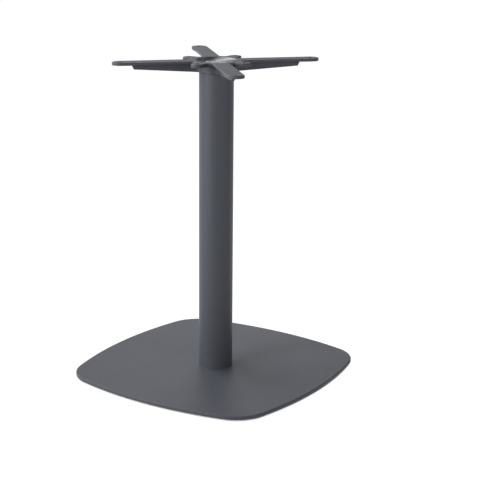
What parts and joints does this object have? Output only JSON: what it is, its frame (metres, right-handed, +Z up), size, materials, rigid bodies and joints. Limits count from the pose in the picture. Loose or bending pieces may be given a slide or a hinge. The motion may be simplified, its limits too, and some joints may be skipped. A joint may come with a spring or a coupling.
{
  "type": "table base",
  "caption": "Pedestal table base: flat plate with bowed sides and round corners, round tube column, and a cast spider with long arms and short lugs that carries the table top.",
  "frame": {"origin": "on the floor, under the middle of the column", "axes": "+Z up along the column; X and Y across the middles of the plate's sides, so that the spider's arms point along the diagonals"},
  "size_m": [0.54, 0.54, 0.71],
  "materials": {
    "plate_coat": "fine-textured satin powder coat, bluish anthracite grey, on steel plate",
    "column_coat": "fine-textured satin powder coat, bluish anthracite grey, on steel tube",
    "spider_coat": "satin powder coat, bluish anthracite grey, on die-cast aluminium",
    "disc_steel": "plain turned steel",
    "screw_zinc": "bright zinc plating",
    "glide_plastic": "matt black polyethylene"
  },
  "bodies": {
    "root": {"base_plate": "plate_coat", "column_tube": "column_coat", "column_foot_disc": "disc_steel", "column_head_disc": "disc_steel", "spider": "spider_coat", "spider_screws": "screw_zinc", "base_screws": "screw_zinc", "glide_front_left": "glide_plastic", "glide_front_right": "glide_plastic", "glide_back_left": "glide_plastic", "glide_back_right": "glide_plastic"}
  },
  "joints": []
}
